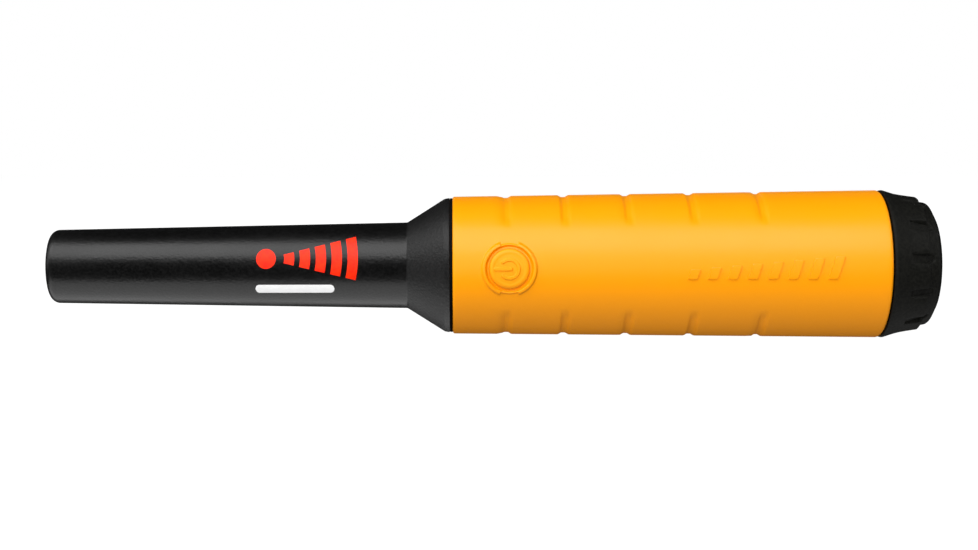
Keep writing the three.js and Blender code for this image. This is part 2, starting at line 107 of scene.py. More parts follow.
def degrees(name, description, value):
    return FloatProperty(
        name=name, description=description, default=math.radians(value), subtype="ANGLE")


def colour(name, description, linear_rgb):
    return FloatVectorProperty(
        name=name, description=description, default=linear_rgb, subtype="COLOR", size=3, min=0, max=1)


class ProbeSettings(bpy.types.PropertyGroup):
    tip_radius: length("Tip radius", "Radius of the probe at its flat tip", 9.85)
    tip_corner: length("Tip corner", "Rounding of the edge of the tip", 2.4)
    shaft_radius: length("Shaft radius", "Radius of the probe where the cone starts", 11.57)
    cone_start: length("Cone start", "Distance from the tip to the cone", 96.1)
    colour: colour("Plastic", "Colour of the black probe housing", (0.0005, 0.0005, 0.0005))


class GripSettings(bpy.types.PropertyGroup):
    front_radius: length("Front radius", "Radius of the grip at the collar", 18.46)
    rear_radius: length("Rear radius", "Radius of the grip at the end cap", 19.84)
    groove_width: length("Groove width", "Width of one finger groove", 3.2)
    groove_depth: length("Groove depth", "Depth of one finger groove", 0.52)
    groove_gap: degrees("Groove gap", "Angle from the button line to a groove's end", 36.5)
    colour: colour("Plastic", "Colour of the grip shell", (0.93, 0.318, 0.0))


class ButtonSettings(bpy.types.PropertyGroup):
    radius: length("Pad radius", "Radius of the power button's pad", 5.3)
    guard_inner: length("Guard inner radius", "Inner radius of the ring round the button", 6.25)
    guard_outer: length("Guard outer radius", "Outer radius of the ring round the button", 7.25)
    guard_notch: length("Guard notch", "Width of the two thinner places in the ring", 4.6)
    colour: colour("Rubber", "Colour of the button", (0.93, 0.325, 0.0))


class CapSettings(bpy.types.PropertyGroup):
    recesses: IntProperty(
        name="Recesses", description="Grip recesses round the cap", default=12, min=3, max=24)
    first_recess: degrees("First recess", "Angle of one recess above the button line", 7.5)
    recess_width: length("Recess width", "Width of one grip recess", 2.2)
    recess_depth: length("Recess depth", "Depth of a recess under the cone", 0.4)
    land_height: length("Land height", "Rear height of the lands between the recesses", 0.98)
    colour: colour("Plastic", "Colour of the end cap", (0.003, 0.003, 0.0024))


class StageSettings(bpy.types.PropertyGroup):
    distance: length("Camera distance", "Distance from the camera to the probe's axis", 473)
    elevation: degrees("Elevation", "Camera height as an angle", 3.3)
    roll: degrees("Roll", "Turn of the camera about its view", 0.19)
    lens: FloatProperty(name="Lens", description="Focal length in millimetres", default=64.42)
    key_power: FloatProperty(
        name="Key light", description="Power of the long soft light", default=25.0, unit="POWER")


# ------------------------------------------------------------------ mesh helpers, all in millimetres
def rounded_outline(corners, arc_steps=5):
    """Points of a closed outline given as (x, radius, rounding) corners."""
    points = []
    for i, (x, y, rounding) in enumerate(corners):
        corner = Vector((x, y))
        if not rounding:
            points.append(corner)
            continue
        back = (Vector(corners[i - 1][:2]) - corner).normalized()
        ahead = (Vector(corners[(i + 1) % len(corners)][:2]) - corner).normalized()
        half = back.angle(ahead) / 2
        centre = corner + (back + ahead).normalized() * rounding / math.sin(half)
        start = corner + back * rounding / math.tan(half) - centre
        end = corner + ahead * rounding / math.tan(half) - centre
        turn = start.angle_signed(end)
        for step in range(arc_steps + 1):
            points.append(centre + Matrix.Rotation(-turn * step / arc_steps, 2) @ start)
    return points


def dense_outline(points, spacing):
    """The same closed outline with extra points, spacing(point) apart at each place."""
    shortest = 0.02
    dense = []
    for here, there in zip(points, points[1:] + points[:1]):
        dense.append(here)
        gap = (there - here).length
        done = spacing(here)
        while done < gap - shortest:
            point = here.lerp(there, done / gap)
            dense.append(point)
            done += spacing(point)
    return dense


def revolve(points, steps, axis=(1, 0, 0)):
    """A bmesh of a closed outline of (along, radius) points spun once round an axis."""
    bm = bmesh.new()
    if axis[0]:
        verts = [bm.verts.new((along, -radius, 0)) for along, radius in points]
    else:
        verts = [bm.verts.new((radius, along, 0)) for along, radius in points]
    edges = [bm.edges.new(pair) for pair in zip(verts, verts[1:] + verts[:1])]
    bmesh.ops.spin(
        bm, geom=verts + edges, cent=(0, 0, 0), axis=axis, dvec=(0, 0, 0), angle=2 * math.pi,
        steps=steps, use_merge=True, use_normal_flip=False, use_duplicate=False)
    bmesh.ops.remove_doubles(bm, verts=bm.verts, dist=1e-5)
    bmesh.ops.dissolve_degenerate(bm, edges=bm.edges, dist=1e-6)
    return bm


def ease(value, low, high):
    """0 below low, 1 above high and smooth between."""
    t = min(1.0, max(0.0, (value - low) / (high - low)))
    return t * t * (3 - 2 * t)


def push_out(vert, amount):
    """Moves a vertex away from the X axis."""
    radius = math.hypot(vert.co.y, vert.co.z)
    vert.co.yz = vert.co.yz * ((radius + amount) / radius)


def up_angle(vert):
    """Angle of a vertex round the X axis, 0 on the button line and positive upwards."""
    return math.atan2(vert.co.z, -vert.co.y)


def piece(bm, name, body, nodes, material, crease=38):
    """Turns a bmesh into an object of the row frame that rides on a body in place of CAD nodes."""
    bmesh.ops.recalc_face_normals(bm, faces=bm.faces)
    bm.transform(Matrix.Translation((TIP_X, 0, AXIS_Z)) @ Matrix.Scale(MM, 4))
    mesh = bpy.data.meshes.new(name)
    bm.to_mesh(mesh)
    bm.free()
    mesh.polygons.foreach_set("use_smooth", [True] * len(mesh.polygons))
    mesh.set_sharp_from_angle(angle=math.radians(crease))
    mesh.materials.append(material)
    made = bpy.data.objects.new(name, mesh)
    bpy.context.scene.collection.objects.link(made)
    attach(made, body)
    if nodes:
        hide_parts(*nodes)
    return made


# ------------------------------------------------------------------ material helpers
SMUDGE_SCALE = 45.0
PRINT_GRAIN_SCALE = 3000.0


class Shading:
    """A node tree that is written with few words."""

    def __init__(self, tree):
        self.tree = tree
        tree.nodes.clear()

    def node(self, kind, *values, **settings):
        made = self.tree.nodes.new("ShaderNode" + kind)
        for name, value in settings.items():
            setattr(made, name, value)
        for socket, value in zip(made.inputs, values):
            self.feed(socket, value)
        return made

    def feed(self, socket, value):
        if isinstance(value, bpy.types.NodeSocket):
            self.tree.links.new(value, socket)
        elif value is not None:
            socket.default_value = value

    def math(self, operation, *values):
        return self.node("Math", *values, operation=operation).outputs[0]

    def blend(self, factor, first, second):
        made = self.node("Mix", data_type="RGBA")
        for index, value in ((0, factor), (6, first), (7, second)):
            self.feed(made.inputs[index], value)
        return made.outputs[2]

    def remap(self, value, low, high, to_low, to_high):
        return self.node("MapRange", value, low, high, to_low, to_high).outputs[0]

    def noise(self, place, scale, detail, roughness):
        return self.node("TexNoise", place, None, scale, detail, roughness).outputs[0]


def node_group(name, inputs, outputs, build):
    """A shader node group of floats, with inputs given as {name: default}, built once."""
    if name in bpy.data.node_groups:
        return bpy.data.node_groups[name]
    tree = bpy.data.node_groups.new(name, "ShaderNodeTree")
    for socket, default in inputs.items():
        made = tree.interface.new_socket(socket, in_out="INPUT", socket_type="NodeSocketFloat")
        made.default_value = default
    for socket in outputs:
        tree.interface.new_socket(socket, in_out="OUTPUT", socket_type="NodeSocketFloat")
    shading = Shading(tree)
    entry = tree.nodes.new("NodeGroupInput")
    leave = tree.nodes.new("NodeGroupOutput")
    for socket, value in zip(leave.inputs, build(shading, entry.outputs)):
        shading.feed(socket, value)
    return tree


def moulded_grain():
    """Spark-eroded mould texture: small pits and fine noise, as a height."""
    pit_share = 0.8

    def build(s, given):
        place = s.node("TexCoord").outputs["Object"]
        fine = s.noise(place, given["Scale"], 2.0, 0.55)
        pit_scale = s.math("MULTIPLY", given["Scale"], pit_share)
        pits = s.node("TexVoronoi", place, None, pit_scale).outputs["Distance"]
        rough = s.math("MULTIPLY", pits, given["Pits"])
        return [s.math("ADD", fine, rough)]

    return node_group("Moulded Grain", {"Scale": 3000.0, "Pits": 0.5}, ["Height"], build)


def handling():
    """Faint smudges and rubbed edges that a used plastic part has."""
    edge_break_scale = 900.0

    def build(s, given):
        place = s.node("TexCoord").outputs["Object"]
        cloud = s.noise(place, given["Scale"], 4.0, 0.6)
        smudge = s.remap(cloud, 0.35, 0.7, 0.0, 1.0)
        pointiness = s.node("NewGeometry").outputs["Pointiness"]
        edge = s.remap(pointiness, 0.505, 0.56, 0.0, 1.0)
        broken = s.noise(place, edge_break_scale, 3.0, 0.6)
        return [smudge, s.math("MULTIPLY", edge, s.remap(broken, 0.3, 0.65, 0.0, 1.0))]

    return node_group("Handling", {"Scale": 60.0}, ["Smudge", "Edge"], build)


def place_group(shading, tree, **values):
    made = shading.node("Group", node_tree=tree)
    for name, value in values.items():
        shading.feed(made.inputs[name], value)
    return made.outputs


def tint(rgb, factor):
    return (*(min(1.0, channel * factor) for channel in rgb), 1.0)


def finish_material(s, shade, rough, height, strength, depth, specular, metallic=0.0):
    """The material's own shader and bump, at the end of the nodes that feed them."""
    bump = s.node("Bump", strength, depth * MM)
    s.feed(bump.inputs["Height"], height)
    shader = s.node("BsdfPrincipled")
    s.feed(shader.inputs["Base Color"], shade)
    s.feed(shader.inputs["Roughness"], rough)
    s.feed(shader.inputs["Normal"], bump.outputs[0])
    shader.inputs["Metallic"].default_value = metallic
    shader.inputs["Specular IOR Level"].default_value = specular
    s.feed(s.node("OutputMaterial").inputs["Surface"], shader.outputs[0])


def moulded_plastic(
    name, rgb, roughness, grain_scale, pits, grain_depth, smudge_shade, edge_shade, specular=0.5,
    coarse_from=None, speck_shade=None, metallic=0.0,
):
    """A moulded plastic with grain, smudges and rubbed edges, coarser past a place on the axis."""
    polished, dulled = roughness - 0.03, roughness + 0.04
    coarse_roughness, coarse_relief = 0.2, 2.0
    material = bpy.data.materials.new(name)
    material.use_nodes = True
    s = Shading(material.node_tree)
    worn = place_group(s, handling(), Scale=SMUDGE_SCALE)
    grain = place_group(s, moulded_grain(), Scale=grain_scale, Pits=pits)["Height"]
    mottled = s.blend(worn["Smudge"], tint(rgb, 1.0), tint(rgb, smudge_shade))
    shade = s.blend(worn["Edge"], mottled, tint(rgb, edge_shade))
    rough = s.remap(worn["Smudge"], 0.0, 1.0, polished, dulled)
    height = grain
    if coarse_from is not None:
        along = s.node("SeparateXYZ", s.node("TexCoord").outputs["Object"]).outputs["X"]
        edge = TIP_X + coarse_from * MM
        coarse = s.remap(along, edge - 0.1 * MM, edge + 0.3 * MM, 0.0, 1.0)
        rough = s.math("MULTIPLY_ADD", coarse, coarse_roughness, rough)
        height = s.math("MULTIPLY", grain, s.math("MULTIPLY_ADD", coarse, coarse_relief, 1.0))
    if speck_shade is not None:
        speck = s.remap(grain, 0.62, 0.95, 0.0, 1.0)
        shade = s.blend(speck, shade, tint(rgb, speck_shade))
    finish_material(
        s, shade, rough, height, strength=0.6, depth=grain_depth, specular=specular,
        metallic=metallic)
    return material


def ink(name, low, high):
    """Slightly uneven screen-printed ink."""
    material = bpy.data.materials.new(name)
    material.use_nodes = True
    s = Shading(material.node_tree)
    patchy = s.noise(s.node("TexCoord").outputs["Object"], 700.0, 3.0, 0.6)
    shade = s.blend(s.remap(patchy, 0.3, 0.7, 0, 1), (*low, 1), (*high, 1))
    rough = s.remap(patchy, 0.3, 0.7, 0.38, 0.5)
    grain = place_group(s, moulded_grain(), Scale=PRINT_GRAIN_SCALE, Pits=0.3)["Height"]
    finish_material(s, shade, rough, grain, strength=0.4, depth=0.01, specular=0.25)
    return material


# ------------------------------------------------------------------ shapes of the round pieces
def grip_radius(x, settings):
    front, rear = settings.front_radius / MM, settings.rear_radius / MM
    return front + (rear - front) * (x - GRIP_START) / (GRIP_END - GRIP_START)


def probe_radius(x, settings):
    tip, end = settings.tip_radius / MM, settings.shaft_radius / MM
    return tip + (end - tip) * x / (settings.cone_start / MM)


def drop_onto_grip(vert, height, grip, centre_x=BUTTON_X):
    """Moves a vertex drawn about a centre on the front of the grip to a height above the grip."""
    x = centre_x + vert.co.x
    radius = grip_radius(x, grip)
    vert.co = Vector((x, -math.sqrt(radius**2 - vert.co.z**2) - height, vert.co.z))


class PINPOINTER_OT_probe_housing(bpy.types.Operator):
    """Add the black probe with its cone and collar, and the gasket behind them"""

    bl_idname = "pinpointer.probe_housing"
    bl_label = "Probe Housing"
    cone_end = (106.15, 17.9)
    collar_end, collar_radius = 107.6, 18.15
    spigot_radius, spigot_bore = 16.1, 14.3
    bore_end = 105.6
    shaft_bore, tip_bore, tip_wall = 9.2, 7.6, 2
    gasket_inner, gasket_crest, gasket_overlap = 16.4, 18.06, 0.08

    def execute(self, context):
        size = context.scene.pinpointer_probe
        cone_start, shaft = size.cone_start / MM, size.shaft_radius / MM
        corners = [
            (0, 0, 0),
            (0, size.tip_radius / MM, size.tip_corner / MM),
            (cone_start, shaft, 0.9),
            (*self.cone_end, 1.8),
            (self.collar_end, self.collar_radius, 0.3),
            (self.collar_end, self.spigot_radius, 0.1),
            (SPIGOT_END, self.spigot_radius, 0.3),
            (SPIGOT_END, self.spigot_bore, 0.2),
            (self.bore_end, self.spigot_bore, 0.5),
            (cone_start, self.shaft_bore, 1),
            (self.tip_wall, self.tip_bore, 0.8),
            (self.tip_wall, 0, 0),
        ]
        outline = dense_outline(rounded_outline(corners, 8), lambda point: 4.0)
        plastic = moulded_plastic(
            "Probe Black Plastic", size.colour, roughness=0.31, grain_scale=1800.0, pits=0.5,
            grain_depth=0.06, smudge_shade=1.6, edge_shade=3.0, specular=0.41,
            coarse_from=cone_start, speck_shade=8.0)
        piece(
            revolve(outline, 192), "probe_housing_moulding", "body", ["probe_housing"], plastic)
        self.add_gasket()
        return {"FINISHED"}

    def add_gasket(self):
        start, end = GASKET_START - self.gasket_overlap, GASKET_END + self.gasket_overlap
        outline = rounded_outline([
            (start, self.gasket_inner, 0), (start, self.gasket_crest, 0.12),
            (end, self.gasket_crest, 0.12), (end, self.gasket_inner, 0),
        ])
        rubber = moulded_plastic(
            "Gasket Black Rubber", (0.002, 0.002, 0.002), roughness=0.8, grain_scale=4000.0,
            pits=0.3, grain_depth=0.01, smudge_shade=1.2, edge_shade=1.4, specular=0.1)
        piece(
            revolve(outline, 128), "collar_gasket_ring", "body", ["collar_gasket"], rubber)


class PINPOINTER_OT_grip_shell(bpy.types.Operator):
    """Add the grip shell with its finger grooves, button guard and level marks"""

    bl_idname = "pinpointer.grip_shell"
    bl_label = "Grip Shell"
    groove_centres = (122.6, 138.0, 154.7, 171.8, 189.9)
    opening_radius = 6.9
    bore, thread_bore, mouth_bore = 16.4, 17.6, 18
    thread_start, mouth_start = 212, 220

    def spacing(self, point):
        """Distance between rings of the mesh: fine in the grooves and coarse elsewhere."""
        near_groove = min(abs(point.x - centre) for centre in self.groove_centres) < 2.2
        return 0.28 if near_groove and point.y > 17 else 1.6

    def groove_depth(self, x, angle, size):
        """Depth of the nearest finger groove, which runs out towards the button line."""
        centre = min(self.groove_centres, key=lambda groove: abs(groove - x))
        half = size.groove_width / MM / 2
        run_out = ease(abs(angle) - size.groove_gap, -0.04, 0.2)
        return size.groove_depth / MM * (1 - ease(abs(x - centre), half * 0.25, half)) * run_out

    def execute(self, context):
        size = context.scene.pinpointer_grip
        front, rear = grip_radius(GRIP_START, size), grip_radius(GRIP_END, size)
        corners = [
            (GRIP_START, self.bore, 0.2),
            (GRIP_START, front, 0.6),
            (GRIP_END, rear, 0.85),
            (GRIP_END, self.mouth_bore, 0.25),
            (self.mouth_start, self.mouth_bore, 0),
            (self.mouth_start, self.thread_bore, 0.2),
            (self.thread_start, self.thread_bore, 0),
            (self.thread_start, self.bore, 0),
        ]
        bm = revolve(dense_outline(rounded_outline(corners, 6), self.spacing), 256)
        skin = front - 0.1
        for vert in bm.verts:
            if math.hypot(vert.co.y, vert.co.z) > skin:
                push_out(vert, -self.groove_depth(vert.co.x, up_angle(vert), size))
        plastic = moulded_plastic(
            "Grip Orange Plastic", size.colour, roughness=0.36, grain_scale=5200.0, pits=0.2,
            grain_depth=0.012, smudge_shade=0.985, edge_shade=1.0, specular=0.34)
        shell = piece(bm, "grip_shell_moulding", "body", ["grip_shell"], plastic)
        self.cut_opening(shell)
        self.add_guard(context, plastic)
        self.add_marks(context, plastic)
        return {"FINISHED"}

    def cut_opening(self, shell):
        """Cuts the round opening in which the button's guard ring stands."""
        radius, depth = self.opening_radius * MM, 20 * MM
        place = Matrix.Translation((TIP_X + BUTTON_X * MM, -depth, AXIS_Z))
        bm = bmesh.new()
        bmesh.ops.create_cone(
            bm, cap_ends=True, segments=96, radius1=radius, radius2=radius, depth=depth,
            matrix=place @ Matrix.Rotation(math.pi / 2, 4, "X"))
        mesh = bpy.data.meshes.new("opening_cutter")
        bm.to_mesh(mesh)
        bm.free()
        cutter = bpy.data.objects.new("opening_cutter", mesh)
        bpy.context.scene.collection.objects.link(cutter)
        cut = shell.modifiers.new("Button opening", "BOOLEAN")
        cut.operation = "DIFFERENCE"
        cut.object = cutter
        cut.solver = "EXACT"
        bpy.context.view_layer.update()
        evaluated = shell.evaluated_get(bpy.context.evaluated_depsgraph_get())
        done = bpy.data.meshes.new_from_object(evaluated)
        shell.modifiers.clear()
        old = shell.data
        shell.data = done
        bpy.data.meshes.remove(old)
        bpy.data.objects.remove(cutter)
        done.name = shell.name

    def add_guard(self, context, material):
        """The raised ring round the button, which is part of the shell."""
        size, grip = context.scene.pinpointer_button, context.scene.pinpointer_grip
        inner, outer = size.guard_inner / MM, size.guard_outer / MM
        hole, skirt = size.radius / MM + 0.03, self.opening_radius - 0.1
        foot, moat_floor = -1.7, -0.4
        crest, notch_drop, notch_inset = 0.66, 0.2, 0.7
        ring_gap, rings = 0.065, 41
        top = [(moat_floor, hole + 0.01 + ring_gap * i) for i in range(rings)]
        rim = top[-1][1]
        profile = [(foot, skirt), (foot, hole), (-0.8, hole), *top, (-0.3, rim), (-0.45, skirt)]
        bm = revolve([Vector(point) for point in profile], 240, axis=(0, 1, 0))
        notch = size.guard_notch / MM / 2
        for vert in bm.verts:
            out = math.hypot(vert.co.x, vert.co.z)
            height = vert.co.y
            if abs(height - moat_floor) < 1e-4:
                thin = 1 - ease(abs(vert.co.x), notch - 0.15, notch + 0.2)
                crest_end = outer - notch_inset * thin
                fall = ease(out, crest_end - 0.4, crest_end + 0.25)
                rise = ease(out, inner - 0.4, inner + 0.2) * (1 - fall)
                moat = 1 - ease(out, inner - 0.55, inner)
                sink = 0.05 * ease(out, rim - 0.45, rim)
                height = (crest - notch_drop * thin) * rise + moat_floor * moat - sink
            drop_onto_grip(vert, height, grip)
        piece(bm, "button_guard_ring", "body", [], material, crease=60)

    def add_marks(self, context, material):
        """Low raised strokes near the end cap: slanted bars that grow like a signal level."""
        grip = context.scene.pinpointer_grip
        bars, first_x, pitch, width, slant = 8, 171.5, 5.2, 2.4, 0.34
        foot, shortest, growth = -2.8, 2.6, 0.46
        raised_by, sunk_by, rounding = 0.42, -0.3, 0.16
        bm = bmesh.new()
        for i in range(bars):
            height = shortest + growth * i
            bar = bmesh.ops.create_grid(bm, x_segments=3, y_segments=14, size=0.5)["verts"]
            for vert in bar:
                up = (vert.co.y + 0.5) * height + foot
                vert.co = Vector((first_x + pitch * i + vert.co.x * width + up * slant, 0, up))
        raised = bmesh.ops.extrude_face_region(bm, geom=list(bm.faces))
        tops = {item for item in raised["geom"] if isinstance(item, bmesh.types.BMVert)}
        rims = []
        for edge in bm.edges:
            beside_side = any(not tops.issuperset(face.verts) for face in edge.link_faces)
            if tops.issuperset(edge.verts) and beside_side:
                rims.append(edge)
        for vert in bm.verts:
            drop_onto_grip(vert, raised_by if vert in tops else sunk_by, grip, centre_x=0)
        bmesh.ops.bevel(
            bm, geom=rims, offset=rounding, segments=2, profile=0.5, affect="EDGES", material=-1)
        piece(bm, "level_marks_relief", "body", [], material)


class PINPOINTER_OT_power_button(bpy.types.Operator):
    """Add the power button with its raised power sign"""

    bl_idname = "pinpointer.power_button"
    bl_label = "Power Button"
    top_height = 0.5
    sign_height = 0.32
    bar_start, bar_end, bar_half = -3.55, 0.35, 0.36
    arc_radius, arc_half, arc_limit = 2.45, 0.28, math.radians(134)
    flange_radius, flange_place = 6.1, 16.5
    edge_rounding, edge_drop = 0.95, 0.6
    dish_depth = 0.12

    def sign(self, x, z):
        """1 on the raised power sign, a bar to the tip and an arc open towards it, else 0."""
        from_bar = math.hypot(max(0.0, self.bar_start - x, x - self.bar_end), z)
        bar = 1 - ease(from_bar, self.bar_half, self.bar_half + 0.2)
        nearest = max(-self.arc_limit, min(self.arc_limit, math.atan2(z, x)))
        arc_x, arc_z = self.arc_radius * math.cos(nearest), self.arc_radius * math.sin(nearest)
        from_arc = math.hypot(x - arc_x, z - arc_z)
        return max(bar, 1 - ease(from_arc, self.arc_half, self.arc_half + 0.22))

    def execute(self, context):
        size, grip = context.scene.pinpointer_button, context.scene.pinpointer_grip
        radius = size.radius / MM
        rings = 64
        front = self.flange_place - grip_radius(BUTTON_X, grip)
        top = [(self.top_height, radius * i / rings) for i in range(1, rings + 1)]
        flange = [(front, self.flange_radius), (front - 1, self.flange_radius), (front - 1, 0)]
        profile = [(self.top_height, 0), *top, (-0.3, radius), (front, radius), *flange]
        bm = revolve([Vector(point) for point in profile], 256, axis=(0, 1, 0))
        for vert in bm.verts:
            out = math.hypot(vert.co.x, vert.co.z)
            height = vert.co.y
            if height > 0:
                past = max(0.0, (out - radius + self.edge_rounding) / self.edge_rounding)
                rounded = self.edge_drop * (1 - math.sqrt(max(0.0, 1 - past**2)))
                dish = self.dish_depth * (1 - ease(out, 3.7, 4.4))
                height += self.sign_height * self.sign(vert.co.x, vert.co.z) - rounded - dish
            if vert.co.y > -0.5:
                drop_onto_grip(vert, height, grip)
            else:
                depth = grip_radius(BUTTON_X, grip) + height
                vert.co = Vector((BUTTON_X + vert.co.x, -depth, vert.co.z))
        rubber = moulded_plastic(
            "Button Orange Rubber", size.colour, roughness=0.5, grain_scale=5200.0, pits=0.2,
            grain_depth=0.012, smudge_shade=0.98, edge_shade=1.0, specular=0.3)
        piece(
            bm, "power_button_pad", "button", ["power_button"], rubber, crease=50)
        return {"FINISHED"}


class PINPOINTER_OT_end_cap(bpy.types.Operator):
    """Add the threaded end cap with its grip recesses, and its O-ring"""

    bl_idname = "pinpointer.end_cap"
    bl_label = "End Cap"
    neck_radius, neck_bore = 16.45, 15.1
    gland_start, gland_end, gland_radius = 220.5, 222.5, 16.2
    flange_radius = 17.4
    rim = (223.1, 19.7)
    cone = ((223.85, 19.88), (233.65, 16.72))
    rear_corner, end_radius = (235.4, 16.42), 13.5
    pad_place, pad_radius, neck_bore_end = 233.6, 11.8, 230.2
    wedge = (226.6, 232.6)
    step_end = 233.0
    recess = (227.9, 234.1)

    def cone_radius(self, x):
        (x0, r0), (x1, r1) = self.cone
        return r0 + (r1 - r0) * (x - x0) / (x1 - x0)

    def relief(self, x, angle, size):
        """Height of the raised lands and depth of the recesses over the cone."""
        pitch = 2 * math.pi / size.recesses
        turn = (angle - size.first_recess + pitch / 2) % pitch - pitch / 2
        across = abs(turn) * self.cone_radius(x)
        half = size.recess_width / MM / 2
        start, end = self.recess
        away = math.hypot(across, max(0.0, x - (end - half)))
        in_recess = (1 - ease(away, half - 0.2, half + 0.2)) * ease(x, start - 0.3, start + 0.3)
        wedge_start, wedge_end = self.wedge
        rise = max(0.0, min(1.0, (x - wedge_start) / (wedge_end - wedge_start)))
        shoulder = 0.75 + 0.25 * ease(across, half, half + 1.2)
        step = 1 - ease(x, wedge_end - 0.05, self.step_end)
        land = size.land_height / MM * rise**1.2 * shoulder * step
        return land * (1 - in_recess) - size.recess_depth / MM * in_recess

    def spacing(self, point):
        """Distance between rings of the mesh: fine across the lands and recesses."""
        lands_start, step_start, relief_end = 226, 232.4, 234.5
        if point.y < 16.5:
            return 3.0
        if step_start < point.x < relief_end:
            return 0.13
        return 0.3 if lands_start < point.x <= step_start else 1.5

    def execute(self, context):
        size = context.scene.pinpointer_cap
        corners = [
            (CAP_NECK_START, self.neck_bore, 0.3),
            (CAP_NECK_START, self.neck_radius, 0.3),
            (self.gland_start, self.neck_radius, 0.2),
            (self.gland_start, self.gland_radius, 0),
            (self.gland_end, self.gland_radius, 0.2),
            (self.gland_end, self.flange_radius, 0.2),
            (self.rim[0], self.flange_radius, 0),
            (*self.rim, 0.25),
            (*self.cone[0], 0.6),
            (*self.cone[1], 0.3),
            (*self.rear_corner, 1.0),
            (LENGTH, self.end_radius, 1.5),
            (LENGTH, 0, 0),
            (self.pad_place, 0, 0),
            (self.pad_place, self.pad_radius, 0.4),
            (self.neck_bore_end, self.pad_radius, 0),
            (self.neck_bore_end, self.neck_bore, 0.4),
        ]
        bm = revolve(dense_outline(rounded_outline(corners, 7), self.spacing), 480)
        relief_end, relief_radius = 234.6, 16.2
        for vert in bm.verts:
            x, radius = vert.co.x, math.hypot(vert.co.y, vert.co.z)
            if self.wedge[0] < x < relief_end and radius > relief_radius:
                push_out(vert, self.relief(x, up_angle(vert), size))
        self.add_thread(bm)
        plastic = moulded_plastic(
            "Cap Black Plastic", size.colour, roughness=0.6, grain_scale=1500.0, pits=0.5,
            grain_depth=0.08, smudge_shade=1.3, edge_shade=2.2, specular=0.13, speck_shade=2.2)
        piece(bm, "end_cap_moulding", "cap", ["end_cap"], plastic)
        self.add_seal()
        return {"FINISHED"}

    def add_thread(self, bm):
        """Winds the thread's ridge round the cap's neck."""
        turns, pitch, steps = 1.9, 3.0, 130
        root, crest = -16.3, -17.25
        section = [(213.8, root), (215.2, root), (214.85, crest), (214.15, crest)]
        verts = [bm.verts.new((x, y, 0)) for x, y in section]
        edges = [bm.edges.new(pair) for pair in zip(verts, verts[1:] + verts[:1])]
        wound = bmesh.ops.spin(
            bm, geom=verts + edges, cent=(0, 0, 0), axis=(1, 0, 0),
            dvec=(pitch * turns / steps, 0, 0), angle=2 * math.pi * turns, steps=steps,
            use_merge=False, use_normal_flip=False, use_duplicate=False)
        last = [item for item in wound["geom_last"] if isinstance(item, bmesh.types.BMEdge)]
        bmesh.ops.contextual_create(bm, geom=edges)
        bmesh.ops.contextual_create(bm, geom=last)

    def add_seal(self):
        thick = (SEAL_END - SEAL_START) / 2
        middle = (SEAL_START + SEAL_END) / 2
        sides = 20
        ring = []
        for i in range(sides):
            angle = math.tau * i / sides
            along = middle + thick * math.cos(angle)
            ring.append(Vector((along, SEAL_RADIUS - thick + thick * math.sin(angle))))
        rubber = moulded_plastic(
            "Seal Rubber", (0.008, 0.008, 0.008), roughness=0.45, grain_scale=3000.0, pits=0.2,
            grain_depth=0.008, smudge_shade=1.2, edge_shade=1.2)
        piece(
            revolve(ring, 160), "cap_o_ring_seal", "cap_seal", ["cap_o_ring"], rubber)


